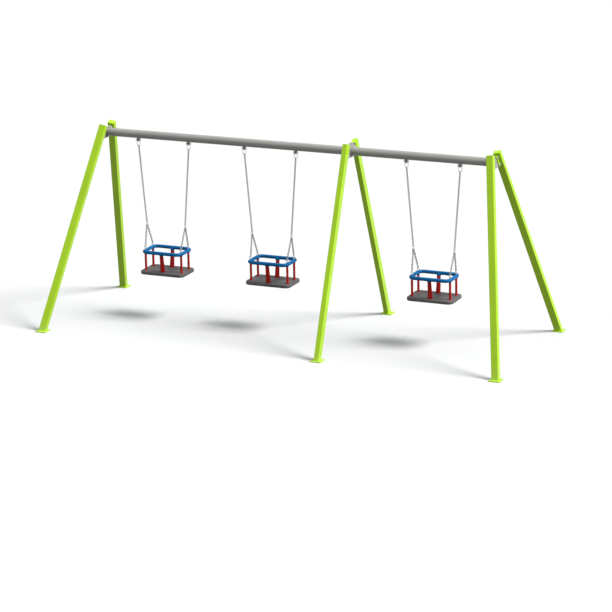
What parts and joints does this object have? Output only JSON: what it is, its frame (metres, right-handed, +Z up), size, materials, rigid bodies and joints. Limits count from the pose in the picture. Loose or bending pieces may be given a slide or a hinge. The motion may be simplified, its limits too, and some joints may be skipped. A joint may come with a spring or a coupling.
{
  "type": "swing set",
  "caption": "Free-standing steel swing frame with splayed legs under a tubular beam, carrying toddler cradle seats that hang on short-link chains.",
  "frame": {"origin": "on the ground, in the middle of the footprint of the six foot plates", "axes": "+X along the beam towards the short bay, -Y is the front, +Z up"},
  "size_m": [4.7884, 1.8382, 1.9163],
  "materials": {
    "green_paint": "yellow-green powder coat, semi-gloss",
    "beam_grey_paint": "grey powder coat, semi-gloss",
    "zinc_plate": "bright zinc plate",
    "galvanised_chain": "hot-dip galvanised, dull",
    "bush_plastic": "black bearing plastic, matt",
    "blue_moulding": "blue soft moulding, satin",
    "red_moulding": "red moulding, satin",
    "seat_rubber": "dark grey rubber, fine matt grain"
  },
  "bodies": {
    "root": {"leg_front_left": "green_paint", "leg_rear_left": "green_paint", "leg_front_middle": "green_paint", "leg_rear_middle": "green_paint", "leg_front_right": "green_paint", "leg_rear_right": "green_paint", "foot_plate_front_left": "green_paint", "foot_plate_rear_left": "green_paint", "foot_plate_front_middle": "green_paint", "foot_plate_rear_middle": "green_paint", "foot_plate_front_right": "green_paint", "foot_plate_rear_right": "green_paint", "head_lugs_left": "green_paint", "head_lugs_middle": "green_paint", "head_lugs_right": "green_paint", "leg_caps": "green_paint", "beam_long": "beam_grey_paint", "beam_short": "beam_grey_paint", "beam_plate_left": "beam_grey_paint", "beam_plate_middle_left": "beam_grey_paint", "beam_plate_middle_right": "beam_grey_paint", "beam_plate_right": "beam_grey_paint", "head_bolts": "zinc_plate", "head_nuts": "zinc_plate", "hanger_lugs": "beam_grey_paint", "hanger_bushes": "bush_plastic"},
    "swing_left": {"hanger_pins_left": "zinc_plate", "shackles_left": "zinc_plate", "main_chains_left": "galvanised_chain", "apex_rings_left": "zinc_plate"},
    "seat_left": {"bridle_chains_left": "galvanised_chain", "seat_eyes_left": "zinc_plate", "seat_ring_left": "blue_moulding", "corner_posts_left": "red_moulding", "centre_posts_left": "red_moulding", "seat_base_left": "seat_rubber", "seat_bolts_left": "zinc_plate"},
    "swing_centre": {"hanger_pins_centre": "zinc_plate", "shackles_centre": "zinc_plate", "main_chains_centre": "galvanised_chain", "apex_rings_centre": "zinc_plate"},
    "seat_centre": {"bridle_chains_centre": "galvanised_chain", "seat_eyes_centre": "zinc_plate", "seat_ring_centre": "blue_moulding", "corner_posts_centre": "red_moulding", "centre_posts_centre": "red_moulding", "seat_base_centre": "seat_rubber", "seat_bolts_centre": "zinc_plate"},
    "swing_right": {"hanger_pins_right": "zinc_plate", "shackles_right": "zinc_plate", "main_chains_right": "galvanised_chain", "apex_rings_right": "zinc_plate"},
    "seat_right": {"bridle_chains_right": "galvanised_chain", "seat_eyes_right": "zinc_plate", "seat_ring_right": "blue_moulding", "corner_posts_right": "red_moulding", "centre_posts_right": "red_moulding", "seat_base_right": "seat_rubber", "seat_bolts_right": "zinc_plate"}
  },
  "joints": [
    {"name": "swing_left", "type": "hinge", "parent": "root", "child": "swing_left", "pos_m": [-1.4, 0, 1.762], "axis": [1, 0, 0], "range_deg": [-60, 60]},
    {"name": "seat_tilt_left", "type": "hinge", "parent": "swing_left", "child": "seat_left", "pos_m": [-1.4, 0, 0.93207], "axis": [1, 0, 0], "range_deg": [-35, 35]},
    {"name": "swing_centre", "type": "hinge", "parent": "root", "child": "swing_centre", "pos_m": [-0.27, 0, 1.762], "axis": [1, 0, 0], "range_deg": [-60, 60]},
    {"name": "seat_tilt_centre", "type": "hinge", "parent": "swing_centre", "child": "seat_centre", "pos_m": [-0.27, 0, 0.93207], "axis": [1, 0, 0], "range_deg": [-35, 35]},
    {"name": "swing_right", "type": "hinge", "parent": "root", "child": "swing_right", "pos_m": [1.4, 0, 1.762], "axis": [1, 0, 0], "range_deg": [-60, 60]},
    {"name": "seat_tilt_right", "type": "hinge", "parent": "swing_right", "child": "seat_right", "pos_m": [1.4, 0, 0.93207], "axis": [1, 0, 0], "range_deg": [-35, 35]}
  ]
}
